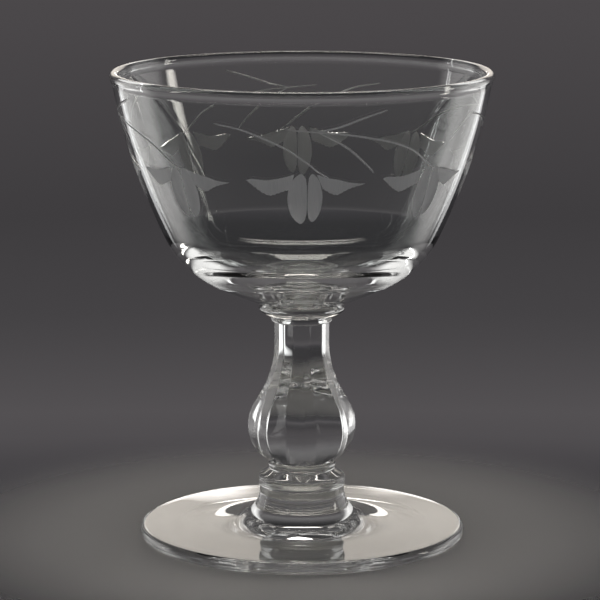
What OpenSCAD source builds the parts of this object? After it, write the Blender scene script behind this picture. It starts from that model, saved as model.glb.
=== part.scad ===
// Stemmed champagne coupe in clear glass, made hot from five gathers: a blown bowl, the stepped
// collar (merese) under it, a panelled baluster stem, a second merese, and a broad foot.
// +Z runs up the stem, and the origin is at the centre of the face that the coupe stands on.

/* [Foot] */
// Width of the foot
foot_d = 84.4; // [78:0.2:92]
// Radius of the foot's rounded edge, half its thickness there
foot_edge_r = 1.6; // [1.2:0.1:2]
// Height of the hub's top above the table
hub_h = 13; // [12.6:0.1:13.6]
// Width of the hub at its top
hub_d = 21.6; // [20:0.2:22]
// Radius of the hollow curve at the hub's root
hub_root_r = 8.6; // [8:0.1:9]
// Depth of the hollow under the foot
foot_hollow = 1.2; // [0.6:0.1:1.6]

/* [Foot merese] */
// Height of the merese between foot and stem
foot_merese_h = 4.5; // [4:0.1:5.5]
// Width of that merese
foot_merese_d = 22.5; // [22:0.1:24]

/* [Baluster stem] */
// Length of the stem from merese to merese
stem_l = 38.9; // [37:0.1:42]
// Number of panels round the stem, an even number
panel_count = 8; // [6:2:10]
// Width of the neck, across its arrises
neck_d = 14; // [13:0.2:15]
// Radius of the hollow curve where the neck flares into the belly
neck_flare_r = 26; // [24:0.5:28]
// Radius of the belly's round curve
belly_r = 12; // [11:0.2:12.4]
// Height of the belly's widest place above the stem's foot
belly_h = 11.5; // [11:0.1:12]
// Width of the ring at the stem's foot
stem_ring_d = 17.6; // [17:0.1:18.4]
// Turn of the panels, so that an arris stands a little to one side of the front
stem_turn = 4; // [0:1:45]

/* [Bowl merese] */
// Width of the upper, wide ring
wide_ring_d = 22.2; // [21.8:0.1:23]
// Height of the wide ring with its rounded underside
wide_ring_h = 3.6; // [3.2:0.1:4]
// Width of the lower, narrow ring
narrow_ring_d = 15.6; // [15.2:0.1:16.4]
// Height of the narrow ring
narrow_ring_h = 1.2; // [1:0.1:1.6]

/* [Bowl] */
// Width of the disc where the bowl is fused to its merese
seat_d = 21.6; // [20:0.2:21.8]
// Radius of the round shoulder between the bowl's bottom and its wall
shoulder_r = 28; // [26:0.5:30]
// Radius of the wall's slight curve
wall_r = 157; // [150:1:165]
// Thickness of the wall below the rim
wall_t = 1.4; // [1.2:0.1:1.8]
// Thickness of the glass beside the seat
bottom_t = 5.2; // [4:0.1:6]
// Radius of the rolled bead round the mouth
bead_r = 1.2; // [1:0.05:1.4]

/* [Hidden] */
$fn = 120;

glass = [0.86, 0.9, 0.92, 0.5];

// Heights at which one gather meets the next
foot_merese_z = hub_h;
stem_z = foot_merese_z + foot_merese_h;
bowl_merese_z = stem_z + stem_l;
bowl_z = bowl_merese_z + narrow_ring_h + wide_ring_h;

// Points along an arc that leaves p at heading h degrees (0 outward, 90 upward) and turns on
// radius r until its heading is e
function arc(p, h, e, r, n) =
    [for (i = [0 : n]) let (a = h + (e - h) * i / n)
        p + r * [sin(a) - sin(h), cos(h) - cos(a)]];

function end_of(points) = points[len(points) - 1];
function mirrored(points) = [for (i = [len(points) - 1 : -1 : 0]) [-points[i][0], points[i][1]]];

// Foot: a steep hub with a hollow curve at its root, then a gentle sweep to a nearly flat disc
hub_side_h = 1.3;
hub_side_out = 0.15;
root_heading = -83;
sweep_heading = -12;
edge_heading = -3;
foot_sweep_r = 40;
rest_ring_w = 7;

hub_root = arc([hub_d / 2 + hub_side_out, hub_h - hub_side_h], root_heading, sweep_heading, hub_root_r, 14);
foot_sweep = arc(end_of(hub_root), sweep_heading, edge_heading, foot_sweep_r, 6);
edge_top = [foot_d / 2 - foot_edge_r, 2 * foot_edge_r];
rest_inner_r = edge_top[0] - rest_ring_w;
// Radius of the shallow dome under the foot
dome_r = (pow(rest_inner_r, 2) + pow(foot_hollow, 2)) / (2 * foot_hollow);
dome_half_angle = asin(rest_inner_r / dome_r);

module foot() {
    color(glass)
    rotate_extrude()
    polygon(concat(
        [[0, hub_h], [hub_d / 2, hub_h]],
        hub_root,
        foot_sweep,
        arc(edge_top, 0, -180, -foot_edge_r, 16),
        [for (i = [0 : 12]) let (a = dome_half_angle * (1 - i / 12))
            [dome_r * sin(a), foot_hollow - dome_r * (1 - cos(a))]]
    ));
}

// Foot merese: a flat wafer with a straight side, rounded below and sloped up to the stem
module foot_merese() {
    r = foot_merese_d / 2;
    round_r = 0.6;
    slope_r = r - 1.7;
    slope_z = stem_z - 1.3;
    color(glass)
    rotate_extrude()
    polygon(concat(
        [[0, foot_merese_z]],
        arc([r - round_r, foot_merese_z], 0, 90, round_r, 6),
        arc([r, slope_z - 2 * round_r], 90, 150, round_r, 4),
        [[slope_r, slope_z], [stem_ring_d / 2 + 0.3, stem_z - 0.3], [stem_ring_d / 2, stem_z], [0, stem_z]]
    ));
}

// Baluster stem: the belly's circle is set inward so that it runs smoothly into the neck's flare
belly_z = stem_z + belly_h;
neck_z = stem_z + stem_l - 5.5;
ring_top_z = stem_z + 2;
belly_x = neck_d / 2 + neck_flare_r
    - sqrt(pow(belly_r + neck_flare_r, 2) - pow(neck_z - belly_z, 2));
join_angle = asin((neck_z - belly_z) / (belly_r + neck_flare_r));
foot_angle = -asin((belly_z - ring_top_z) / belly_r);
belly_curve = [for (i = [0 : 24]) let (a = foot_angle + (join_angle - foot_angle) * i / 24)
    [belly_x + belly_r * cos(a), belly_z + belly_r * sin(a)]];
flare_curve = [for (i = [1 : 12]) let (a = join_angle * (1 - i / 12))
    [neck_d / 2 + neck_flare_r * (1 - cos(a)), neck_z - neck_flare_r * sin(a)]];
arris_curve = concat(belly_curve, flare_curve);

// The belly's panels end a little above the ring, on a short round waist
waist_z = ring_top_z + 0.9;

// One pair of opposite panels: their side view, drawn right across the stem
module panel_pair() {
    flat = cos(180 / panel_count);
    side = concat(
        [for (p = arris_curve) if (p[1] > waist_z) [p[0] * flat, p[1]]],
        [[neck_d / 2 * flat, bowl_merese_z]]
    );
    rotate([90, 0, 0])
    linear_extrude(height = 40, center = true)
    polygon(concat([[side[0][0], waist_z - 0.4]], side, mirrored(side), [[-side[0][0], waist_z - 0.4]]));
}

// What is left between all the pairs of panels
module panels() {
    intersection_for (i = [0 : panel_count / 2 - 1])
        rotate(360 / panel_count * (i + 0.5) + stem_turn)
        panel_pair();
}

// The round waist and the rounded ring that the panels stand on
module stem_ring() {
    ring_r = stem_ring_d / 2;
    rotate_extrude()
    polygon(concat(
        [[0, stem_z]],
        arc([ring_r - 0.5, stem_z], 0, 90, 0.5, 5),
        arc([ring_r, ring_top_z - 0.8], 90, 140, 0.8, 5),
        [[ring_r - 0.5, waist_z], [0, waist_z]]
    ));
}

module baluster_stem() {
    color(glass)
    union() {
        stem_ring();
        panels();
    }
}

// Bowl merese: a narrow ring, a groove, and a wide ring with a rounded underside
module bowl_merese() {
    narrow_r = narrow_ring_d / 2;
    wide_r = wide_ring_d / 2;
    groove_r = narrow_r - 0.4;
    wide_z = bowl_merese_z + narrow_ring_h;
    under_r = 1.6;
    color(glass)
    rotate_extrude()
    polygon(concat(
        [[0, bowl_merese_z]],
        arc([narrow_r - 0.5, bowl_merese_z], 0, 90, 0.5, 5),
        arc([narrow_r, wide_z - 0.4], 90, 150, 0.4, 4),
        [[groove_r, wide_z + 0.1], [groove_r, wide_z + 0.4]],
        arc([wide_r - under_r, wide_z + 0.4], 10, 90, under_r, 8),
        arc([wide_r, bowl_z - 0.4], 90, 170, 0.4, 4),
        [[0, bowl_z]]
    ));
}

// Bowl: three arcs outside, thinning from the bottom to the wall inside
seat_heading = 19.5;
shoulder_heading = 25.5;
wall_heading = 64.5;
mouth_heading = 79.5;
bottom_r = 120;
bottom_steps = 4;
shoulder_steps = 14;
wall_steps = 10;

bottom_arc = arc([seat_d / 2, bowl_z], seat_heading, shoulder_heading, bottom_r, bottom_steps);
shoulder_arc = arc(end_of(bottom_arc), shoulder_heading, wall_heading, shoulder_r, shoulder_steps);
wall_arc = arc(end_of(shoulder_arc), wall_heading, mouth_heading, wall_r, wall_steps);
mouth = end_of(wall_arc);
bead_pos = [mouth[0] + 0.72 - bead_r, mouth[1] + 1.6];

// Thickness where the outside's heading is h, and the inside point opposite an outside point p
function glass_t(h) = wall_t
    + (bottom_t - wall_t) * pow((mouth_heading - h) / (mouth_heading - seat_heading), 1.5);
function inside(p, h) = p + glass_t(h) * [-sin(h), cos(h)];
function inner(points, h, e) = [for (i = [0 : len(points) - 1])
    inside(points[i], h + (e - h) * i / (len(points) - 1))];

inner_bottom = inner(bottom_arc, seat_heading, shoulder_heading);
inner_shoulder = inner(shoulder_arc, shoulder_heading, wall_heading);
inner_wall = inner(wall_arc, wall_heading, mouth_heading);
// Radius of the dished middle of the floor, which meets the floor at the seat's heading
dish_r = inner_bottom[0][0] / sin(seat_heading);
dish_steps = 5;

function tail(points) = [for (i = [1 : len(points) - 1]) points[i]];
function reversed(points) = [for (i = [len(points) - 1 : -1 : 0]) points[i]];

module bowl() {
    outside = concat([[0, bowl_z]], bottom_arc, tail(shoulder_arc), tail(wall_arc), [bead_pos]);
    floor = [for (i = [0 : dish_steps - 1]) let (a = seat_heading * i / dish_steps)
        [dish_r * sin(a), inner_bottom[0][1] - dish_r * (cos(a) - cos(seat_heading))]];
    lining = concat(floor, inner_bottom, tail(inner_shoulder), tail(inner_wall));
    color(glass) {
        rotate_extrude()
        union() {
            polygon(concat(outside, reversed(lining)));
            translate(bead_pos) circle(r = bead_r);
        }
    }
}

foot();
foot_merese();
baluster_stem();
bowl_merese();
bowl();
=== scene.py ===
# %% [markdown]
# # A champagne coupe with cut flowers
# The real coupe is hot-worked from five gathers of clear glass: a blown bowl, a stepped collar
# (a merese) under it, a panelled baluster stem, a second merese and a broad foot. Each gather is
# one piece here, turned or pressed from its own outline, so that it can be taken up and reused.
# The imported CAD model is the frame: every piece takes its place and its height from there, and
# adds what only shows in the glass: melted edges, cut flowers, and the finish of each surface.

# %% Load the frame and keep its box
import random
from math import acos, atan2, cos, hypot, pi, radians, sin, sqrt

import bpy
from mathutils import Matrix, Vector
from mathutils.geometry import delaunay_2d_cdt


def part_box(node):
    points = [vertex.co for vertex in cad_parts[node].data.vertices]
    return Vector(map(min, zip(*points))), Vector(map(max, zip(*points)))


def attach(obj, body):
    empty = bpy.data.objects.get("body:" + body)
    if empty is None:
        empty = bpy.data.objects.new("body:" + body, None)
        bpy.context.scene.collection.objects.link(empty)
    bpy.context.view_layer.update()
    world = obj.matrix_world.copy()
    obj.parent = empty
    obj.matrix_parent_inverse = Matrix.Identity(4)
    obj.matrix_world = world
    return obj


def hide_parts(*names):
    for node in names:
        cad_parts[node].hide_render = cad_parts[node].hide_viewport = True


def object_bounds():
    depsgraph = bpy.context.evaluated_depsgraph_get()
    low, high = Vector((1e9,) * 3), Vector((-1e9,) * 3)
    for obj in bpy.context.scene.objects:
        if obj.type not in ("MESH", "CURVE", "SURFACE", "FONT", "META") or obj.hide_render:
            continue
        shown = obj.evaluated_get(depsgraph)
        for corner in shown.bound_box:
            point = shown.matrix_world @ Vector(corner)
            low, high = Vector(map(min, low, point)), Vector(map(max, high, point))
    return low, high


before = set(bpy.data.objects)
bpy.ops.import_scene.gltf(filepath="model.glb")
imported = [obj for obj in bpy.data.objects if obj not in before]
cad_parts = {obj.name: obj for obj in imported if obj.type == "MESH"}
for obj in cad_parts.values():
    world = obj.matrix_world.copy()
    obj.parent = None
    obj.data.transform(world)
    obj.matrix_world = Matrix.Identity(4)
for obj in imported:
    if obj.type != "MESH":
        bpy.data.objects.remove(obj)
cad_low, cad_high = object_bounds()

MM = 0.001
scene = bpy.context.scene
print("CAD box, mm:", [round(c / MM, 1) for c in (*cad_low, *cad_high)])

# %% [markdown]
# ## Colours and nodes
# Colours are written as the hex values a painter would pick from a screen, and one function turns
# them into the linear values that light works in. One more adds a node with its settings and links,
# so that each material below reads from top to bottom.


# %% Two helpers for every material
def linear(hex_colour):
    """An sRGB hex colour as linear red, green, blue and alpha."""
    parts = [int(hex_colour[i:i + 2], 16) / 255 for i in (0, 2, 4)]
    return [c / 12.92 if c <= 0.04045 else ((c + 0.055) / 1.055) ** 2.4 for c in parts] + [1.0]


def add(tree, kind, settings=None, **inputs):
    """A new node: settings are its own properties, inputs are values or sockets to link from."""
    node = tree.nodes.new(kind)
    for key, value in (settings or {}).items():
        setattr(node, key, value)
    for key, value in inputs.items():
        socket = node.inputs[key.replace("_", " ")]
        if isinstance(value, bpy.types.NodeSocket):
            tree.links.new(value, socket)
        else:
            socket.default_value = value
    return node


def new_material(name):
    """An empty node material and its output."""
    material = bpy.data.materials.new(name)
    material.use_nodes = True
    material.node_tree.nodes.clear()
    return material, material.node_tree, add(material.node_tree, "ShaderNodeOutputMaterial")


# %% [markdown]
# ## Clear glass
# Tableware like this is soda-lime glass, fire-polished in the furnace mouth. Its surface is as
# smooth as a liquid's, so it has no roughness at all: what tells the eye that it was worked by hand
# is a slow, shallow waviness, which makes reflections drift a little. It could be a Glass BSDF; the
# Principled shader does the same. Its IOR is 1.52.

# %% Fire-polished soda-lime glass
WAVE_WIDTH_MM = 9.0
WAVE_HEIGHT_MM = 0.010


def soda_lime_glass():
    """Clear glass with no roughness; the slow waves bend its highlights a little."""
    material, tree, out = new_material("soda_lime_glass")
    place = add(tree, "ShaderNodeTexCoord")
    waves = add(tree, "ShaderNodeTexNoise", Vector=place.outputs["Object"],
                Scale=1 / (WAVE_WIDTH_MM * MM), Detail=1.0, Roughness=0.4)
    surface = add(tree, "ShaderNodeBump", Height=waves.outputs["Fac"],
                  Strength=1.0, Distance=WAVE_HEIGHT_MM * MM)
    glass = add(tree, "ShaderNodeBsdfPrincipled", Base_Color=linear("fbfdfc"), IOR=1.52,
                Roughness=0.0, Transmission_Weight=1.0, Normal=surface.outputs["Normal"])
    tree.links.new(glass.outputs["BSDF"], out.inputs["Surface"])
    return material


# %% [markdown]
# ## Wheel-cut glass
# The flowers are cut with a stone wheel and left grey: the cut is a shallow hollow with a fine
# satin surface that scatters light and so looks paler than the clear wall round it. Two things
# make it: a rough surface that lets less than half of the light through and scatters the rest back,
# and the fine parallel lines that the wheel's grit leaves. Grit lines are about 0.05 mm apart;
# they are drawn at 0.16 mm, because finer ones don't show.

# %% Grey wheel-cut glass
GRIT_LINE_MM = 0.16
GRIT_RUN_MM = 5.0
GRIT_DEPTH_MM = 0.02


def wheel_cut_glass():
    """Satin glass with grit lines, which give the eye the direction that the wheel ran in."""
    material, tree, out = new_material("wheel_cut_glass")
    unrolled = add(tree, "ShaderNodeUVMap", {"uv_map": "unrolled"})
    stretched = add(tree, "ShaderNodeMapping", Vector=unrolled.outputs["UV"],
                    Scale=(1 / GRIT_LINE_MM, 1 / GRIT_RUN_MM, 1.0))
    lines = add(tree, "ShaderNodeTexNoise", Vector=stretched.outputs["Vector"],
                Scale=1.0, Detail=3.0, Roughness=0.6)
    surface = add(tree, "ShaderNodeBump", Height=lines.outputs["Fac"],
                  Strength=1.0, Distance=GRIT_DEPTH_MM * MM)
    tone = add(tree, "ShaderNodeValToRGB", Fac=lines.outputs["Fac"])
    tone.color_ramp.elements[0].color = linear("d3d5d6")
    tone.color_ramp.elements[1].color = linear("f7f8f8")
    satin = add(tree, "ShaderNodeBsdfPrincipled", Base_Color=tone.outputs["Color"], IOR=1.52,
                Roughness=0.5, Transmission_Weight=0.42, Normal=surface.outputs["Normal"])
    tree.links.new(satin.outputs["BSDF"], out.inputs["Surface"])
    return material


# %% [markdown]
# ## Fused joints
# Where two gathers are joined hot there is no surface any more, only glass. The pieces stay apart
# as closed solids, so their meeting discs get a clear pass-through finish, and light crosses
# the joint as it does in the real glass.

# %% Fused joint
def fused_joint():
    """No surface at all: the eye sees one glass through the two discs."""
    material, tree, out = new_material("fused_joint")
    through = add(tree, "ShaderNodeBsdfTransparent")
    tree.links.new(through.outputs["BSDF"], out.inputs["Surface"])
    return material


CLEAR = soda_lime_glass()
CUT = wheel_cut_glass()
FUSED = fused_joint()
print("glass finishes:", CLEAR.name, CUT.name, FUSED.name)

# %% [markdown]
# ## Outlines from arcs
# A glassmaker checks a profile with radius gauges, so the outlines here are chains of tangent
# arcs. A heading is the way the outline runs: 0 is straight out from the axis and 90 straight up.
# The small pieces are easier to draw with corners, which are then melted round, as a flame would:
# a bevel would do this too, but it rounds each edge alone, and glass flows over several at once.

# %% Arcs in millimetres
def arc(start, heading, end_heading, radius, steps):
    """Points of an arc that leaves start at one heading and turns until the next."""
    h = radians(heading)
    turned = [radians(heading + (end_heading - heading) * i / steps) for i in range(steps + 1)]
    return [(start[0] + radius * (sin(a) - sin(h)), start[1] + radius * (cos(h) - cos(a)))
            for a in turned]


def straight(start, end, steps):
    """Evenly spaced points from start to end."""
    return [(start[0] + (end[0] - start[0]) * i / steps, start[1] + (end[1] - start[1]) * i / steps)
            for i in range(steps + 1)]


def chained(*runs):
    """Runs of points joined into one outline, with no point twice."""
    points = []
    for run in runs:
        for p in run:
            if not points or hypot(p[0] - points[-1][0], p[1] - points[-1][1]) > 1e-4:
                points.append(p)
    return points


def fire_polished(outline, melt, step=0.15):
    """The outline with its corners melted round over about this many millimetres; its ends stay."""
    even, left = [outline[0]], step
    for (x0, z0), (x1, z1) in zip(outline, outline[1:]):
        run = hypot(x1 - x0, z1 - z0)
        while left < run:
            even.append((x0 + (x1 - x0) * left / run, z0 + (z1 - z0) * left / run))
            left += step
        left -= run
    even.append(outline[-1])
    for _ in range(round(2 * (melt / step) ** 2)):
        even = [even[0]] + [((a[0] + 2 * b[0] + c[0]) / 4, (a[1] + 2 * b[1] + c[1]) / 4)
                            for a, b, c in zip(even, even[1:], even[2:])] + [even[-1]]
    return even


def node_box(name):
    """A CAD node's lowest and highest height and its radius, in millimetres."""
    low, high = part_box(name)
    return low.z / MM, high.z / MM, (high.x - low.x) / 2 / MM


# %% [markdown]
# ## Turning a piece
# A revolved piece is a stack of rings. Blender's Screw modifier could turn an outline as well, but
# the bowl's cut band has to be sewn in between two rings, so the rings are made by hand. The discs
# that meet another gather get the fused finish. Rings are fine enough, 288 round, that highlights
# run round the bowl without corners.

# %% Turn an outline into a closed solid
AROUND = 288
CREASE_DEG = 38


def ring(radius, height, phase=0.0):
    """Points round the axis; the phase turns the first one away from the front."""
    angles = [phase + 2 * pi * i / AROUND for i in range(AROUND)]
    return [(radius * sin(a), -radius * cos(a), height) for a in angles]


class Solid:
    """Vertices in millimetres and faces, each with a finish, that become one closed mesh."""

    def __init__(self):
        self.points = []
        self.faces = []
        self.finishes = []
        self.unrolled = {}
        self.set_normals = {}

    def add_points(self, points):
        first = len(self.points)
        self.points += points
        return list(range(first, first + len(points)))

    def add_face(self, corners, finish=0):
        self.faces.append(tuple(corners))
        self.finishes.append(finish)

    def skin(self, lower, upper, finish=0):
        """Quads between two rings of vertices."""
        for i in range(len(lower)):
            j = (i + 1) % len(lower)
            self.add_face((lower[i], lower[j], upper[j], upper[i]), finish)

    def close(self, rim, height, facing_up, finish=0):
        """A fan from a ring to a point on the axis."""
        tip = self.add_points([(0.0, 0.0, height)])[0]
        for i in range(len(rim)):
            j = (i + 1) % len(rim)
            self.add_face((rim[i], rim[j], tip) if facing_up else (rim[j], rim[i], tip), finish)

    def stack(self, outline, finish=0, phase=0.0, below=None):
        """Rings along an outline, joined to the ring below if there is one. Returns the last ring."""
        last = below
        for radius, height in outline:
            here = self.add_points(ring(radius, height, phase))
            if last is not None:
                self.skin(last, here, finish)
            last = here
        return last

    def make(self, name, finishes):
        """The finished object, smooth but for real creases."""
        mesh = bpy.data.meshes.new(name)
        mesh.from_pydata([Vector(p) * MM for p in self.points], [], self.faces)
        for finish in finishes:
            mesh.materials.append(finish)
        mesh.polygons.foreach_set("material_index", self.finishes)
        mesh.polygons.foreach_set("use_smooth", [True] * len(self.faces))
        mesh.update()
        mesh.set_sharp_from_angle(angle=radians(CREASE_DEG))
        if self.unrolled:
            self.keep_flat_places(mesh)
            self.keep_cut_edges(mesh)
        piece = bpy.data.objects.new(name, mesh)
        scene.collection.objects.link(piece)
        print(name, "has", len(self.faces), "faces and is",
              [round(d / MM, 1) for d in piece.dimensions], "mm")
        return piece

    def keep_flat_places(self, mesh):
        """A UV map in millimetres, where the surface was drawn flat."""
        unrolled = mesh.uv_layers.new(name="unrolled")
        for loop in mesh.loops:
            unrolled.uv[loop.index].vector = self.unrolled.get(loop.vertex_index, (0.0, 0.0))

    def keep_cut_edges(self, mesh):
        """Crisp edges between finishes, and the true wall's normals on the clear glass."""
        finish_beside = {}
        for face in mesh.polygons:
            for key in face.edge_keys:
                finish_beside.setdefault(key, set()).add(face.material_index)
        for edge in mesh.edges:
            if len(finish_beside[edge.key]) > 1:
                edge.use_edge_sharp = True
        normals = [Vector((0, 0, 0))] * len(mesh.loops)
        for face, corner_normals in self.set_normals.items():
            for loop, normal in zip(mesh.polygons[face].loop_indices, corner_normals):
                normals[loop] = normal
        mesh.normals_split_custom_set(normals)


def place(piece, *nodes):
    """A piece of glass rides on the one body and stands for its CAD node, which is hidden."""
    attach(piece, "root")
    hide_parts(*nodes)


# %% [markdown]
# ## The foot
# The foot is a disc of glass dropped on the hub and opened out hot: a steep hub, a hollow sweep
# at its root, and a nearly flat disc that thins to an edge about 3 mm thick. Underneath it is slightly
# hollow, so that the glass stands on a ring and doesn't rock. It is one turned solid, because
# every highlight on it follows its radii, and a displaced disc would only come near them.

# %% Foot
_, hub_top, foot_r = node_box("foot")
EDGE_R = 1.6
HUB_R = 10.8
HUB_SIDE_H = 1.3
HUB_SIDE_OUT = 0.15
ROOT_R = 8.6
SWEEP_R = 40.0
ROOT_HEADING, SWEEP_HEADING, DISC_HEADING = -83, -12, -3
REST_RING_W = 7.0
FOOT_HOLLOW = 1.2
FIRST_ANGLE = 0.001


def foot_outline():
    """From the middle of the underside, out to the edge and up to the hub's top."""
    edge_x = foot_r - EDGE_R
    rest_x = edge_x - REST_RING_W
    dome_r = (rest_x ** 2 + FOOT_HOLLOW ** 2) / (2 * FOOT_HOLLOW)
    last_angle = atan2(rest_x, dome_r - FOOT_HOLLOW)
    angles = [FIRST_ANGLE + (last_angle - FIRST_ANGLE) * i / 24 for i in range(25)]
    dome = [(dome_r * sin(a), FOOT_HOLLOW - dome_r * (1 - cos(a))) for a in angles]
    edge = arc((edge_x, 0.0), 0, 180, EDGE_R, 28)
    side = straight((HUB_R, hub_top), (HUB_R + HUB_SIDE_OUT, hub_top - HUB_SIDE_H), 4)
    root = arc(side[-1], ROOT_HEADING, SWEEP_HEADING, ROOT_R, 36)
    sweep = arc(root[-1], SWEEP_HEADING, DISC_HEADING, SWEEP_R, 12)
    top = straight(edge[-1], sweep[-1], 10)
    return chained(dome, [(edge_x, 0.0)], edge, top, reversed(sweep), reversed(root), reversed(side))


foot = Solid()
outline = foot_outline()
first = foot.stack(outline[:1])
last = foot.stack(outline[1:], below=first)
foot.close(first, outline[0][1], False)
foot.close(last, hub_top, True, 1)
foot_piece = foot.make("foot_glass", [CLEAR, FUSED])
place(foot_piece, "foot")

# %% [markdown]
# ## The merese on the foot
# A merese is a small wafer of glass pressed between two gathers. This one has a straight side,
# a rounded lower edge and a shoulder that slopes up to the stem. Its discs take the radius that
# both neighbours share, so that no step is left in the fused glass.

# %% Foot merese
merese_low, merese_high, merese_r = node_box("foot_merese")
STEM_SEAT_R = 8.5
HUB_SEAT_R = 10.7
FOOT_COLLAR_MELT = 0.55
MELTS_BACK = 0.12


def turned_wafer(name, node, outline, low, high):
    """A turned piece that is fused to a neighbour above and below."""
    wafer = Solid()
    first = wafer.stack(outline[:1])
    last = wafer.stack(outline[1:], below=first)
    wafer.close(first, low, False, 1)
    wafer.close(last, high, True, 1)
    place(wafer.make(name, [CLEAR, FUSED]), node)


def foot_merese_outline():
    """Straight side, sloping shoulder: drawn a little proud, since melting draws corners back."""
    side_r = merese_r + MELTS_BACK
    lower_edge = [(HUB_SEAT_R, merese_low), (merese_r - 0.2, merese_low), (side_r, merese_low + 0.5)]
    shoulder_line = [(side_r, merese_high - 2.0), (merese_r - 0.9, merese_high - 1.2)]
    seat = [(STEM_SEAT_R + 0.6, merese_high - 0.35), (STEM_SEAT_R, merese_high)]
    return fire_polished(lower_edge + shoulder_line + seat, FOOT_COLLAR_MELT)


turned_wafer("foot_collar", "foot_merese", foot_merese_outline(), merese_low, merese_high)

# %% [markdown]
# ## The baluster stem
# The stem is pressed while soft into eight panels that run up over the belly into a slim neck.
# Turning can't make panels, and a bevelled prism can't swell, so each ring's radius is worked out
# round the stem: a high power of the eight panel directions gives nearly flat panels with softly
# melted arrises. At the bottom each panel curls in to a round waist along a scalloped edge, low in
# the panel's middle and high at the arris, and under the waist there is a little ring.

# %% Stem profile
stem_low, stem_high, _ = node_box("baluster_stem")
PANELS = 8
NECK_R = 7.1
FLARE_R = 26.0
BELLY_R = 12.0
BELLY_LOW_R = 11.3
BELLY_UP = 11.5
NECK_LENGTH = 5.5
belly_z = stem_low + BELLY_UP
neck_z = stem_high - NECK_LENGTH
belly_x = NECK_R + FLARE_R - sqrt((BELLY_R + FLARE_R) ** 2 - (neck_z - belly_z) ** 2)
turn_z = belly_z + (neck_z - belly_z) * BELLY_R / (BELLY_R + FLARE_R)
print("stem arrises, mm: neck", NECK_R, "and belly", round(belly_x + BELLY_R, 2))


def arris_radius(z):
    """Distance of the arrises from the axis, before they are melted round."""
    if z > neck_z:
        return NECK_R
    if z > turn_z:
        return NECK_R + FLARE_R - sqrt(FLARE_R ** 2 - (neck_z - z) ** 2)
    if z > belly_z:
        return belly_x + sqrt(BELLY_R ** 2 - (z - belly_z) ** 2)
    drop = min(belly_z - z, BELLY_LOW_R * 0.95)
    return belly_x + BELLY_R - BELLY_LOW_R + sqrt(BELLY_LOW_R ** 2 - drop ** 2)


# %% Panels round the stem
ARRIS_POWER = 150
PANEL_BULGE = 0.05


def panel_shape(angle):
    """The eight-sided section for arrises at radius 1: flat panels, melted arrises, a slight bulge."""
    flat = cos(pi / PANELS)
    facing = [max(cos(angle - 2 * pi * (k + 0.5) / PANELS), 0) for k in range(PANELS)]
    total = sum(f ** ARRIS_POWER for f in facing)
    return flat * total ** (-1 / ARRIS_POWER) * (1 - PANEL_BULGE) + PANEL_BULGE


print("a panel's middle is at", round(panel_shape(pi / PANELS), 3), "of its arris's radius")

# %% Ring, waist and scalloped ends
WAIST_R = 7.9
RING_R = 8.75
RING_UP = 0.95
RING_HALF_H = 1.15
RING_FULLNESS = 0.6
SEAT_IN = 0.35
PANEL_END_Z = stem_low + 2.6
NOTCH = 1.7


def waist_radius(z):
    """The round blank under the panels: a small ring, then the waist."""
    up = z - stem_low
    ring_swell = max(1 - ((up - RING_UP) / RING_HALF_H) ** 2, 0) ** RING_FULLNESS
    seat = STEM_SEAT_R - SEAT_IN if up < RING_UP else WAIST_R
    return seat + (RING_R - seat) * ring_swell


def panel_end(angle):
    """Height where a panel curls in to the waist: lowest in its middle, with a notch at each arris."""
    off_middle = abs((angle * PANELS / (2 * pi)) % 1 - 0.5) * 2
    return PANEL_END_Z + NOTCH * off_middle ** 3


# %% Stem sections
STEM_AROUND = 256
STEM_TURN = radians(4)
CURL = 0.7
AROUND_STEM = [2 * pi * i / STEM_AROUND for i in range(STEM_AROUND)]
PANEL_SHAPE = [panel_shape(a - STEM_TURN) for a in AROUND_STEM]
PANEL_END = [panel_end(a - STEM_TURN) for a in AROUND_STEM]


def stem_section(z):
    """One ring of the stem: panels above, the round waist below, and a curled edge between."""
    waist = waist_radius(z)
    section = []
    for a, shape, end in zip(AROUND_STEM, PANEL_SHAPE, PANEL_END):
        t = min(max((z - end) / CURL + 0.5, 0), 1)
        curl = sqrt(1 - (1 - t) ** 2)
        r = waist + (arris_radius(z) * shape - waist) * curl
        section.append((r * sin(a), -r * cos(a), z))
    return section


# %% Stem
FINE_Z = stem_low + 5.5
FINE_ROWS = 48
PLAIN_ROWS = 110
stem_rows = [stem_low + (FINE_Z - stem_low) * i / FINE_ROWS for i in range(FINE_ROWS)]
stem_rows += [FINE_Z + (stem_high - FINE_Z) * i / PLAIN_ROWS for i in range(PLAIN_ROWS + 1)]
stem = Solid()
rows = [stem.add_points(stem_section(z)) for z in stem_rows]
for lower, upper in zip(rows, rows[1:]):
    stem.skin(lower, upper)
stem.close(rows[0], stem_low, False, 1)
stem.close(rows[-1], stem_high, True, 1)
stem_piece = stem.make("stem_glass", [CLEAR, FUSED])
place(stem_piece, "baluster_stem")

# %% [markdown]
# ## The merese under the bowl
# Two rings in one gather: a narrow one on the neck, a groove, and a wide one with a rounded
# underside that the bowl sits on. It is turned like the foot's merese, with a sharper flame, so that
# the groove stays open and catches its own thin line of light.

# %% Bowl merese
collar_low, collar_high, collar_r = node_box("bowl_merese")
NECK_SEAT_R = 6.9
BOWL_SEAT_R = 10.2
NARROW_RING_R = 7.9
GROOVE_R = 7.6
BOWL_COLLAR_MELT = 0.25


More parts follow.
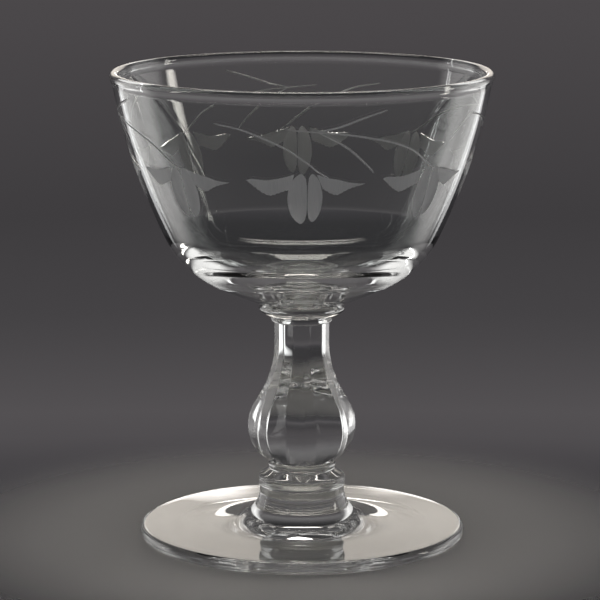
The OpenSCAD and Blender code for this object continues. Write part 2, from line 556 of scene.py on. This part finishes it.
def bowl_merese_outline():
    """Narrow ring, groove, and the wide ring that the bowl sits on."""
    narrow_ring = [(NECK_SEAT_R, collar_low), (NARROW_RING_R, collar_low),
                   (NARROW_RING_R + 0.1, collar_low + 1.1)]
    groove = [(GROOVE_R, collar_low + 1.35), (GROOVE_R + 0.2, collar_low + 1.7)]
    underside = [(collar_r - 1.4, collar_low + 2.0), (collar_r - 0.15, collar_low + 2.9)]
    wide_ring = [(collar_r + 0.15, collar_high - 1.1), (collar_r - 0.5, collar_high - 0.25)]
    seat = [(BOWL_SEAT_R, collar_high)]
    return fire_polished(narrow_ring + groove + underside + wide_ring + seat, BOWL_COLLAR_MELT)


turned_wafer("bowl_collar", "bowl_merese", bowl_merese_outline(), collar_low, collar_high)

# %% [markdown]
# ## The bowl
# The bowl is blown, so it thins as it rises: about 3 to 5 mm of glass at the bottom and 1.4 mm at
# the wall, and the rim is melted in the flame until it draws up into a small round bead. Outside it
# is three tangent arcs: a flat bottom, a tight shoulder and a long, nearly straight wall. A Solidify
# modifier would give one thickness everywhere, so the lining is worked out point by point instead.

# %% Bowl profile
bowl_low, bowl_high, bowl_r = node_box("bowl")
SEAT_HEADING, SHOULDER_HEADING, WALL_HEADING, MOUTH_HEADING = 19.5, 25.5, 64.5, 79.5
BOTTOM_R, SHOULDER_R, WALL_R = 120.0, 28.0, 157.0
FOOT_OF_BOWL_R = 10.8
BEAD_R = 1.2
WALL_T = 1.4
BOTTOM_T = 5.2
THINNING = 1.5

bottom = arc((FOOT_OF_BOWL_R, bowl_low), SEAT_HEADING, SHOULDER_HEADING, BOTTOM_R, 12)
shoulder = arc(bottom[-1], SHOULDER_HEADING, WALL_HEADING, SHOULDER_R, 28)
WALL_START = shoulder[-1]


def wall_at(z):
    """Radius and heading of the wall's outside at a height."""
    h = acos(cos(radians(WALL_HEADING)) - (z - WALL_START[1]) / WALL_R)
    return WALL_START[0] + WALL_R * (sin(h) - sin(radians(WALL_HEADING))), h


def glass_thickness(heading):
    """Thick under the bottom, thin at the mouth."""
    share = (MOUTH_HEADING - heading) / (MOUTH_HEADING - SEAT_HEADING)
    return WALL_T + (BOTTOM_T - WALL_T) * share ** THINNING


def inside_of(points, heading, end_heading):
    """The lining of an arc: each point moved in by the glass thickness at its heading."""
    lining_points = []
    for i, (x, z) in enumerate(points):
        h = heading + (end_heading - heading) * i / (len(points) - 1)
        t = glass_thickness(h)
        lining_points.append((x - t * sin(radians(h)), z + t * cos(radians(h))))
    return lining_points


# %% Wall and lining
wall = arc(WALL_START, WALL_HEADING, MOUTH_HEADING, WALL_R, 44)
lining = chained(inside_of(bottom, SEAT_HEADING, SHOULDER_HEADING),
                 inside_of(shoulder, SHOULDER_HEADING, WALL_HEADING),
                 inside_of(wall, WALL_HEADING, MOUTH_HEADING))
dish_r = lining[0][0] / sin(radians(SEAT_HEADING))
dish_low = lining[0][1] - dish_r * (1 - cos(radians(SEAT_HEADING)))
dish = [(dish_r * sin(a), dish_low + dish_r * (1 - cos(a)))
        for a in [radians(SEAT_HEADING) * i / 12 for i in range(1, 12)]]
print("glass at the bottom, mm:", round(dish_low - bowl_low, 2), "and at the wall:", WALL_T)

# %% Rim bead
BEAD_FROM_DEG = -30
BEAD_TURN_DEG = 225
BEAD_STEPS = 36
bead_x = bowl_r - BEAD_R
bead_z = bowl_high - BEAD_R


def bead_outline():
    """Up the outside of the bead and down its inside, as far as the lining."""
    angles = [radians(BEAD_FROM_DEG + BEAD_TURN_DEG * i / BEAD_STEPS) for i in range(BEAD_STEPS + 1)]
    return [(bead_x + BEAD_R * cos(a), bead_z + BEAD_R * sin(a)) for a in angles]


print("rim bead, mm: middle at radius", round(bead_x, 2), "and height", round(bead_z, 2))


# %% [markdown]
# ## The cut flowers
# A cutter holds the bowl against a small stone wheel and draws with it. The pattern is a spray that
# goes round four times, with two flowers to a spray. A flower is two upright petals, each one long
# hollow, with a wing on either side: one firm stroke for its upper edge, then short strokes that
# fade downwards. The stalks are V-grooves that thin out to nothing.
# The pattern is drawn flat, in millimetres round the bowl from a flower's axis and up from the
# table. A mask in the material could whiten the same shapes, but wouldn't bend the light at their
# edges, and a boolean would leave ragged faces. So the cuts are real hollows in the mesh: the wall
# is meshed round their outlines, and each edge is as crisp as the wheel left it.

# %% Drawing lines on the wall
PATTERN_R = 43.5
FRONT_FLOWER = radians(1.75) * PATTERN_R
QUARTER = pi / 2 * PATTERN_R


def flowing(points, steps=5, closed=False):
    """A smooth line through a few chosen points."""
    n = len(points)
    line = []
    for i in range(n if closed else n - 1):
        beside = [(i + k) % n if closed else min(max(i + k, 0), n - 1) for k in (-1, 0, 1, 2)]
        p = [Vector(points[b]) for b in beside]
        for j in range(steps):
            t = j / steps
            line.append(0.5 * (2 * p[1] + (p[2] - p[0]) * t
                               + (2 * p[0] - 5 * p[1] + 4 * p[2] - p[3]) * t ** 2
                               + (3 * p[1] - p[0] - 3 * p[2] + p[3]) * t ** 3))
    return line if closed else line + [Vector(points[-1])]


def distance(p, line):
    """How far a point is from a line of short straight pieces."""
    best = 1e9
    for a, b in zip(line, line[1:]):
        along = b - a
        t = min(max((p - a).dot(along) / max(along.length_squared, 1e-12), 0), 1)
        best = min(best, (p - a - along * t).length_squared)
    return sqrt(best)


def is_inside(p, outline):
    """True if a point is inside a closed outline."""
    inside = False
    for a, b in zip(outline, outline[1:] + outline[:1]):
        if (a.y > p.y) != (b.y > p.y) and p.x < a.x + (p.y - a.y) / (b.y - a.y) * (b.x - a.x):
            inside = not inside
    return inside


# %% One cut
NO_CLOSER = 0.45


class Cut:
    """One wheel cut: its outline, the creases inside it, and how deep it is at a point."""

    def __init__(self, outline, creases, depth, spacing, polished=None):
        self.outline = outline
        self.creases = creases
        self.depth_inside = depth
        self.spacing = spacing
        self.polished = polished
        self.low = Vector((min(p.x for p in outline), min(p.y for p in outline)))
        self.high = Vector((max(p.x for p in outline), max(p.y for p in outline)))

    def is_near(self, p, margin):
        """True in the box round the cut, or within a margin of it: a quick test before the slow ones."""
        return (self.low.x - margin < p.x < self.high.x + margin
                and self.low.y - margin < p.y < self.high.y + margin)

    def depth(self, p):
        """How deep the cut is at a point, nothing outside it."""
        here = self.is_near(p, 0.0) and is_inside(p, self.outline)
        return self.depth_inside(p) if here else 0.0

    def fill(self):
        """Points inside the cut, in staggered rows, clear of its outline and creases."""
        edges = [self.outline + self.outline[:1]] + self.creases
        points = []
        for row in range(int((self.high.y - self.low.y) / self.spacing)):
            shift = 0.5 * (row % 2)
            for column in range(int((self.high.x - self.low.x) / self.spacing) + 1):
                p = Vector((self.low.x + (column + shift) * self.spacing,
                            self.low.y + (row + 0.5) * self.spacing))
                clear_of_edges = min(distance(p, e) for e in edges) > NO_CLOSER * self.spacing
                if is_inside(p, self.outline) and clear_of_edges:
                    points.append(p)
        return points


# %% Petals
PETAL_LOW_Z, PETAL_HIGH_Z = 87.9, 100.8
PETAL_DEPTH = 0.30
PETAL_SLOPE = 0.42
PETAL_SPACING = 0.42
PETAL_LINE = [(0.02, 0.55), (0.03, 0.25), (0.12, 0.08), (0.33, 0.0), (0.62, 0.06), (0.88, 0.21),
              (1.0, 0.42), (0.97, 0.62), (0.76, 0.85), (0.36, 1.0), (0.12, 0.93), (0.04, 0.78)]


def petal(axis, side, width, low_z):
    """An upright hollow beside the flower's axis: side is -1 for the left petal, 1 for the right."""
    tall = PETAL_HIGH_Z - low_z
    outline = flowing([(axis + side * width * across, low_z + tall * up) for across, up in PETAL_LINE],
                      steps=4, closed=True)

    def depth(p):
        share = min(distance(p, outline + outline[:1]) / (width * PETAL_SLOPE), 1)
        return PETAL_DEPTH * (1 - (1 - share) ** 2)

    return Cut(outline, [], depth, PETAL_SPACING)


# %% Wings
WING_DEPTH = 0.26
WALL_OF_CUT = 0.14
STROKE_PITCH = 1.05
STROKE_TOOTH = 0.16
STROKE_RIPPLE = 0.22
WING_SPACING = 0.38
LEFT_WING = ([(-15.1, 98.9), (-13.8, 99.3), (-10.4, 99.1), (-7.9, 99.4), (-5.4, 100.0), (-3.2, 100.7)],
             [(-4.2, 97.0), (-6.8, 96.1), (-9.3, 95.3), (-11.3, 96.0), (-13.2, 97.4)])
RIGHT_WING = ([(14.6, 98.0), (11.0, 98.3), (7.9, 99.1), (4.9, 99.7), (2.2, 100.6)],
              [(3.8, 97.0), (5.7, 95.9), (7.4, 95.4), (8.9, 96.1), (10.8, 97.0), (13.0, 97.6)])


def wing(axis, upper, lower):
    """A firm upper edge, then strokes that fade down to a feathered lower edge."""
    top = flowing([(axis + x, z) for x, z in upper], steps=6)
    feathered = flowing([(axis + x, z) for x, z in lower], steps=9)
    teeth = [STROKE_TOOTH * abs(sin(pi * p.x / STROKE_PITCH)) for p in feathered]
    feathered = [Vector((p.x, p.y - tooth)) for p, tooth in zip(feathered, teeth)]
    crease = [Vector((p.x, p.y - WALL_OF_CUT)) for p in top[2:-2]]

    def depth(p):
        under = distance(p, top)
        over = distance(p, feathered + top[:1])
        stroke = 1 - STROKE_RIPPLE + STROKE_RIPPLE * abs(cos(pi * p.x / STROKE_PITCH))
        return WING_DEPTH * min(under / WALL_OF_CUT, 1) * stroke * over / (under + over)

    return Cut(top + feathered, [crease], depth, WING_SPACING, top)


# %% Stalks and tendrils
STALK_W = 0.52
STALK_DEPTH = 0.20
STALK_TIP = 0.12
STALK_TAPER = 0.45
TIP_HALF_W = 0.03
NO_FILL = 5.0
FIRST_STALK = [(-21.8, 112.8), (-15.4, 111.6), (-10.4, 109.6), (-5.2, 107.1), (0.0, 103.3), (2.4, 101.3),
               (5.2, 99.65)]
SECOND_STALK = [(-5.1, 111.9), (1.6, 111.2), (8.3, 110.5), (14.8, 109.3), (20.8, 107.8), (26.3, 105.6),
                (31.2, 102.3), (33.6, 100.9), (37.6, 99.85)]
RISING_TENDRIL = [(1.9, 111.25), (7.1, 112.4), (12.7, 114.5), (18.0, 116.2)]
FALLING_TENDRIL = [(2.4, 111.0), (6.1, 109.1), (9.8, 106.6), (14.1, 102.8), (16.4, 100.5)]


def stalk(axis, points):
    """A V-groove along a smooth line, tapered at both ends."""
    line = flowing([(axis + x, z) for x, z in points], steps=9)
    last = len(line) - 1
    full = [STALK_TIP + (1 - STALK_TIP) * sin(pi * i / last) ** STALK_TAPER for i in range(1, last)]
    half = [TIP_HALF_W] + [STALK_W / 2 * f for f in full] + [TIP_HALF_W]
    left, right = [], []
    for i, p in enumerate(line):
        along = (line[min(i + 1, last)] - line[max(i - 1, 0)]).normalized()
        across = Vector((-along.y, along.x)) * half[i]
        left.append(p + across)
        right.append(p - across)

    def depth(p):
        near = min(range(last + 1), key=lambda i: (p - line[i]).length_squared)
        return STALK_DEPTH * half[near] * 2 / STALK_W * max(1 - distance(p, line) / half[near], 0)

    return Cut(right + left[::-1], [line[1:-1]], depth, NO_FILL)


# %% Sprays of two flowers
FLOWERS = 2
FRONT_PETALS = (5.0, 3.75)
PETAL_W = 4.35
HAND_VARIES = 0.3
RIGHT_TIP_UP = 0.5


def spray(cell, hand):
    """All the cuts of one quarter of the bowl; no two petals that a hand cuts are quite alike."""
    lines = (FIRST_STALK, SECOND_STALK, RISING_TENDRIL, FALLING_TENDRIL)
    cuts = [stalk(FRONT_FLOWER, line) for line in lines]
    for flower in range(FLOWERS):
        axis = FRONT_FLOWER + flower * QUARTER / FLOWERS
        left_w, right_w = FRONT_PETALS
        tip = 0.0
        if cell > 0 or flower > 0:
            left_w = PETAL_W + hand.uniform(-HAND_VARIES, HAND_VARIES)
            right_w = PETAL_W + hand.uniform(-HAND_VARIES, HAND_VARIES)
            tip = hand.uniform(-HAND_VARIES, HAND_VARIES)
        cuts += [petal(axis, -1, left_w, PETAL_LOW_Z + tip),
                 petal(axis, 1, right_w, PETAL_LOW_Z + RIGHT_TIP_UP - tip),
                 wing(axis, *LEFT_WING), wing(axis, *RIGHT_WING)]
    return cuts


# %% [markdown]
# ## Meshing the cut wall
# The cut band is built as four quarters. Each one is triangulated flat, with the outlines of
# its cuts as fixed edges, and then rolled round the wall, where every point sinks by the depth
# of the cut it lies in. The quarters meet along a slanting line that no cut crosses. Sinking the
# points of an even grid would be simpler, but its squares would leave saw teeth on every curve.

# %% Cut band
BAND_LOW, BAND_HIGH = 86.0, 117.5
BAND_ROWS = 30
QUARTERS = 4
COLUMNS = AROUND // QUARTERS
SEAM_DEG, SEAM_Z, SEAM_SLANT = -28.5, 112.8, -0.338


def seam(z):
    """Angle of a quarter's left edge at a height."""
    return radians(SEAM_DEG + SEAM_SLANT * (z - SEAM_Z))


def quarter_border():
    """The border of a flat quarter, anticlockwise from its lower left corner."""
    step = QUARTER / COLUMNS
    z_rows = [BAND_LOW + (BAND_HIGH - BAND_LOW) * i / BAND_ROWS for i in range(BAND_ROWS + 1)]
    left = [Vector((seam(z) * PATTERN_R, z)) for z in z_rows]
    low_side = [Vector((left[0].x + step * i, BAND_LOW)) for i in range(COLUMNS)]
    right_side = [Vector((p.x + QUARTER, p.y)) for p in left[:-1]]
    high_side = [Vector((left[-1].x + QUARTER - step * i, BAND_HIGH)) for i in range(COLUMNS)]
    return low_side + right_side + high_side + left[:0:-1]


# %% Points between and inside the cuts
CLEAR_OF_CUT = 0.35
CLEAR_OF_NEXT = 0.15


def is_clear(p, cut, margin):
    """True if a point is further than a margin from the outline of a cut."""
    return not cut.is_near(p, margin) or distance(p, cut.outline + cut.outline[:1]) > margin


def quarter_fill(cuts):
    """Points of the plain wall between the cuts, and inside them."""
    step = QUARTER / COLUMNS
    points = []
    for row in range(1, BAND_ROWS):
        z = BAND_LOW + (BAND_HIGH - BAND_LOW) * row / BAND_ROWS
        for column in range(1, COLUMNS):
            p = Vector((seam(z) * PATTERN_R + step * column, z))
            near = [c for c in cuts if c.is_near(p, CLEAR_OF_CUT)]
            if all(is_clear(p, c, CLEAR_OF_CUT) and not is_inside(p, c.outline) for c in near):
                points.append(p)
    for cut in cuts:
        others = [c for c in cuts if c is not cut]
        points += [p for p in cut.fill() if all(is_clear(p, c, CLEAR_OF_NEXT) for c in others)]
    return points


def finish_at(p, cuts):
    """0 on the plain wall, 2 in a grey cut and 3 on the steep, bright side of a wing's upper edge."""
    here = [c for c in cuts if c.is_near(p, 0.0) and is_inside(p, c.outline)]
    if len(here) == 1 and here[0].polished and distance(p, here[0].polished) < WALL_OF_CUT:
        return 3
    return 2 if here else 0


# %% Triangles of a quarter
SAME_POINT = 1e-5


def cut_quarter(cuts):
    """Flat vertices, triangles, and the finish of each triangle."""
    border = quarter_border()
    vertices, edges, faces = list(border), [], [list(range(len(border)))]
    for cut in cuts:
        faces.append(list(range(len(vertices), len(vertices) + len(cut.outline))))
        vertices += cut.outline
        for crease in cut.creases:
            edges += [(len(vertices) + i, len(vertices) + i + 1) for i in range(len(crease) - 1)]
            vertices += crease
    vertices += quarter_fill(cuts)
    flat, _, triangles, _, _, _ = delaunay_2d_cdt(vertices, edges, faces, 1, SAME_POINT)
    middles = [sum((flat[i] for i in triangle), Vector((0, 0))) / 3 for triangle in triangles]
    return flat, triangles, [finish_at(m, cuts) for m in middles]


def rolled(p, depth, turn):
    """A flat point rolled round the wall and sunk in by a depth."""
    r, h = wall_at(p.y)
    a = p.x / PATTERN_R + turn
    r, z = r - depth * sin(h), p.y + depth * cos(h)
    return r * sin(a), -r * cos(a), z


def outward(p, turn):
    """The wall's outside normal at a flat point."""
    h = wall_at(p.y)[1]
    a = p.x / PATTERN_R + turn
    return Vector((sin(h) * sin(a), -sin(h) * cos(a), -cos(h)))


# %% Bowl below and above the band
bowl = Solid()
first = bowl.add_points(ring(BOWL_SEAT_R, bowl_low, seam(BAND_LOW)))
below_band = BAND_LOW - 0.3
band_start = [p for p in wall if p[1] < below_band] + [(wall_at(BAND_LOW)[0], BAND_LOW)]
band_end = [(wall_at(BAND_HIGH)[0], BAND_HIGH)]
low_ring = bowl.stack(chained(bottom, shoulder, band_start), phase=seam(BAND_LOW), below=first)
high_ring = bowl.stack(band_end, phase=seam(BAND_HIGH))
print("rings of", len(low_ring), "points wait for the cut band at", BAND_LOW, "and", BAND_HIGH, "mm")

# %% Bowl with its cut band
known = {tuple(round(c, 3) for c in bowl.points[i]): i for i in low_ring + high_ring}
hand = random.Random(21)
for cell in range(QUARTERS):
    turn = cell * 2 * pi / QUARTERS
    cuts = spray(cell, hand)
    flat, triangles, finishes = cut_quarter(cuts)
    index = []
    for p in flat:
        depth = max(c.depth(p) for c in cuts)
        spot = rolled(p, depth, turn)
        key = tuple(round(c, 3) for c in spot)
        if key not in known:
            known[key] = bowl.add_points([spot])[0]
        index.append(known[key])
        bowl.unrolled[index[-1]] = (p.x, p.y)
    for triangle, finish in zip(triangles, finishes):
        corners = [index[i] for i in triangle]
        if len(set(corners)) == 3:
            if finish == 0:
                bowl.set_normals[len(bowl.faces)] = [outward(flat[i], turn) for i in triangle]
            bowl.add_face(corners, finish)
    print("quarter", cell, "has", len(triangles), "triangles,", sum(f > 0 for f in finishes), "of them cut")

rest = chained(bead_outline(), reversed(lining), reversed(dish))
last = bowl.stack(rest, phase=seam(BAND_HIGH), below=high_ring)
bowl.close(first, bowl_low, False, 1)
bowl.close(last, dish_low, True)
bowl_piece = bowl.make("bowl_glass", [CLEAR, FUSED, CUT, CLEAR])
place(bowl_piece, "bowl")

# %% [markdown]
# ## The floor
# Clear glass shows whatever is round it, so a wide pale floor would fill it with grey. The floor is
# a plain pale matt disc under the coupe, and its colour fades out to see-through at its edge: a
# painted pool of light, not one cast by a lamp. Beyond it only the room is seen. A backdrop sheet could
# do the same work, but would hide the room's tones from the glass. From here on lengths are in metres, as
# Blender has them.

# %% Floor
POOL_IN = 0.050
POOL_OUT = 0.120
FLOOR_R = 0.16
FLOOR_CORNERS = 96
JUST_BELOW = 0.00005


def floor_with_painted_pool():
    """A pale matt surface, like a painted board; its fade into the room at the edge is a painted pool of
    light.
    """
    material, tree, out = new_material("floor_with_painted_pool")
    spot = add(tree, "ShaderNodeTexCoord")
    reach = add(tree, "ShaderNodeVectorMath", {"operation": "LENGTH"})
    tree.links.new(spot.outputs["Object"], reach.inputs[0])
    # Painted pool of light: the pale colour is full out to POOL_IN from the axis and fades to see-through
    # by POOL_OUT, as if a lamp lit only the ground round the foot.
    fade = add(tree, "ShaderNodeMapRange", {"interpolation_type": "SMOOTHERSTEP"},
               Value=reach.outputs["Value"], From_Min=POOL_IN, From_Max=POOL_OUT)
    matt = add(tree, "ShaderNodeBsdfPrincipled", Base_Color=linear("dddbd9"), Roughness=0.7)
    gone = add(tree, "ShaderNodeBsdfTransparent")
    mix = add(tree, "ShaderNodeMixShader", Fac=fade.outputs["Result"])
    tree.links.new(matt.outputs["BSDF"], mix.inputs[1])
    tree.links.new(gone.outputs["BSDF"], mix.inputs[2])
    tree.links.new(mix.outputs["Shader"], out.inputs["Surface"])
    return material


def make_floor():
    """One flat face, a hair below the foot so that the two don't share a plane."""
    mesh = bpy.data.meshes.new("floor")
    angles = [2 * pi * i / FLOOR_CORNERS for i in range(FLOOR_CORNERS)]
    rim = [(FLOOR_R * cos(a), FLOOR_R * sin(a), 0) for a in angles]
    mesh.from_pydata(rim, [], [tuple(range(FLOOR_CORNERS))])
    mesh.materials.append(floor_with_painted_pool())
    floor_piece = bpy.data.objects.new("floor", mesh)
    floor_piece.location.z = -JUST_BELOW
    scene.collection.objects.link(floor_piece)
    print("floor: radius", FLOOR_R / MM, "mm, gone beyond", POOL_OUT / MM, "mm")


make_floor()

# %% [markdown]
# ## Soft lights
# A photographer lights glass with cards and softboxes that stand beside and behind it, because
# glass isn't lit: it shows pictures of the lights. Each light here is a rectangle that is brightest
# in its middle and fades at its edge, so its picture in the glass has no hard border. Some of them
# are like cards held for one surface only. They show in the clear glass and nowhere else, or only
# as a mirrored sheen on its outside, or they only light matt surfaces (the floor and the grey cuts).

# %% A soft-edged light
SOFT_FROM = 0.30
SOFT_TO = 0.56


def softbox(name, place_at, aim_at, width, tall, glow, tint, seen="everywhere"):
    """A soft-edged rectangular light, hidden from the camera; glow is how bright its face looks.

    It is seen "everywhere", only in clear "glass", only as a "mirror" sheen, or only by "matt" ones."""
    data = bpy.data.lights.new(name, "AREA")
    data.shape = "RECTANGLE"
    data.size = width
    data.size_y = tall
    data.energy = glow * pi * width * tall
    data.color = linear(tint)[:3]
    data.use_nodes = True
    face = add(data.node_tree, "ShaderNodeNewGeometry")
    off_middle = add(data.node_tree, "ShaderNodeVectorMath", {"operation": "DISTANCE"})
    data.node_tree.links.new(face.outputs["Parametric"], off_middle.inputs[0])
    off_middle.inputs[1].default_value = (0.5, 0.5, 0)
    edge = add(data.node_tree, "ShaderNodeMapRange", {"interpolation_type": "SMOOTHSTEP"},
               Value=off_middle.outputs["Value"], From_Min=SOFT_FROM, From_Max=SOFT_TO,
               To_Min=1.0, To_Max=0.0)
    emission = data.node_tree.nodes["Emission"]
    data.node_tree.links.new(edge.outputs["Result"], emission.inputs["Strength"])
    lamp = bpy.data.objects.new(name, data)
    lamp.location = place_at
    lamp.rotation_euler = (Vector(aim_at) - lamp.location).to_track_quat("-Z", "Y").to_euler()
    lamp.visible_camera = False
    lamp.visible_diffuse = seen in ("everywhere", "matt")
    lamp.visible_glossy = seen != "matt"
    lamp.visible_transmission = seen in ("everywhere", "glass")
    scene.collection.objects.link(lamp)
    print(name, "lights:", seen)


# %% Where the lights stand
MIDDLE = (0, 0, cad_high.z * 0.6)
FOOT = (0, 0, 0)


def round_the_glass(degrees_right, away, height):
    """A place round the glass: 0 degrees is straight behind it, 90 is at its right."""
    return away * sin(radians(degrees_right)), away * cos(radians(degrees_right)), height


# %% [markdown]
# ### The lights, one by one
# Two tall softboxes a little behind the coupe make the bright bands on the bowl's wall, and two low
# cards beside them the white edges of the neck. A slit at the left and a pane at the right are
# the narrow windows that run down the bowl. A high window behind makes the curved lines in the
# bowl's bottom and on the hub. The back card and two glints lie on the top of the foot as a silver
# sheen. The front fill and the ceiling light only the floor and the grey cuts.

# %% Lights
softbox("left_softbox", round_the_glass(-57, 0.8, 0.02), MIDDLE, 0.66, 1.10, 1.0, "fffdfb")
softbox("right_softbox", round_the_glass(57, 0.8, 0.02), MIDDLE, 0.66, 1.10, 1.0, "fffdfb")
softbox("left_low_card", round_the_glass(-35.5, 0.8, -0.14), MIDDLE, 0.12, 0.30, 1.5, "ffffff", "glass")
softbox("right_low_card", round_the_glass(35.5, 0.8, -0.14), MIDDLE, 0.12, 0.30, 1.5, "ffffff", "glass")
softbox("left_slit", round_the_glass(-69, 0.78, 0.16), MIDDLE, 0.02, 0.45, 6.0, "ffffff", "glass")
softbox("right_pane", round_the_glass(84, 0.78, 0.30), MIDDLE, 0.11, 0.28, 6.0, "fffaf2", "glass")
softbox("high_window", (0, 0.40, 0.76), MIDDLE, 0.66, 0.20, 7.5, "fff8f0", "glass")
softbox("back_card", (0, 0.80, 0.29), FOOT, 0.70, 0.30, 1.35, "fff6ea", "mirror")
softbox("left_glint", (-0.066, 0.80, 0.158), FOOT, 0.090, 0.050, 3.2, "fffaf5", "mirror")
softbox("right_glint", (0.074, 0.80, 0.154), FOOT, 0.090, 0.050, 3.2, "fffaf5", "mirror")
softbox("front_fill", (0, -1.10, 0.16), MIDDLE, 0.7, 0.4, 3.4, "ffffff", "matt")
softbox("ceiling", (0, -0.15, 1.1), MIDDLE, 0.7, 0.7, 0.25, "ffffff", "matt")

# %% [markdown]
# ## The room
# The room is a plain dark studio: what is seen behind the coupe is a soft grey wall. Above eye
# level it is a little paler, and it is dark overhead and far below. It is drawn as tones by height,
# from -1 straight below to 1 straight above, so that no wall has to be built and every piece of the
# glass still finds something to bend. A single grey would leave the glass flat and lifeless.

# %% Room
ROOM_TONES = [(-1.0, "1c1c1d"), (-0.5, "2c2b2d"), (-0.27, "373638"), (-0.24, "413f42"),
              (-0.222, "555254"), (-0.19, "454345"), (-0.155, "3f3d3f"), (-0.09, "4b484a"),
              (0.08, "555254"), (0.17, "656264"), (0.24, "6c6a6b"), (0.36, "646263"),
              (0.55, "3c3b3c"), (0.75, "232324")]


def plain_room():
    """A dark room by height: a soft grey backdrop, a little paler above, dark below and overhead."""
    room = bpy.data.worlds.new("room")
    room.use_nodes = True
    tree = room.node_tree
    way = add(tree, "ShaderNodeTexCoord")
    parts = add(tree, "ShaderNodeSeparateXYZ", Vector=way.outputs["Generated"])
    up = add(tree, "ShaderNodeMapRange", Value=parts.outputs["Z"], From_Min=-1.0, From_Max=1.0)
    tones = add(tree, "ShaderNodeValToRGB", Fac=up.outputs["Result"])
    ramp = tones.color_ramp
    while len(ramp.elements) < len(ROOM_TONES):
        ramp.elements.new(0.5)
    for element, (height, tone) in zip(ramp.elements, ROOM_TONES):
        element.position = (height + 1) / 2
        element.color = linear(tone)
    tree.links.new(tones.outputs["Color"], tree.nodes["Background"].inputs["Color"])
    return room


scene.world = plain_room()
print("room tones:", len(ROOM_TONES))

# %% [markdown]
# ## The camera
# A long lens from less than a metre away, a hand's width above the rim and looking a little down:
# the mouth shows as a flat ellipse and the foot as a wider one. Depth of field is off, because a
# part for a library should be sharp from rim to foot.

# %% Camera
CAMERA_BACK = 0.7746
CAMERA_HEIGHT = 0.2064
CAMERA_SIDE = -0.0005
LOOK_DOWN_DEG = 10.58
LENS_MM = 183.75

camera_data = bpy.data.cameras.new("camera")
camera_data.lens = LENS_MM
camera_data.sensor_width = 36.0
camera_data.clip_start = 0.01
camera = bpy.data.objects.new("camera", camera_data)
camera.location = (CAMERA_SIDE, -CAMERA_BACK, CAMERA_HEIGHT)
camera.rotation_euler = (radians(90 - LOOK_DOWN_DEG), 0, 0)
scene.collection.objects.link(camera)
scene.camera = camera
print("camera looks down", LOOK_DOWN_DEG, "degrees with a", LENS_MM, "mm lens")

# %% [markdown]
# ## How light is followed and shown
# In a thick piece of clear glass a ray is bent and mirrored many times before it leaves. Too few
# bounces would leave black patches in the collars and the stem, so the limits are high. The
# Standard view keeps the greys as they were chosen.

# %% Bounces and view
scene.cycles.max_bounces = 32
scene.cycles.transmission_bounces = 32
scene.cycles.glossy_bounces = 16
scene.cycles.transparent_max_bounces = 48
scene.view_settings.view_transform = "Standard"
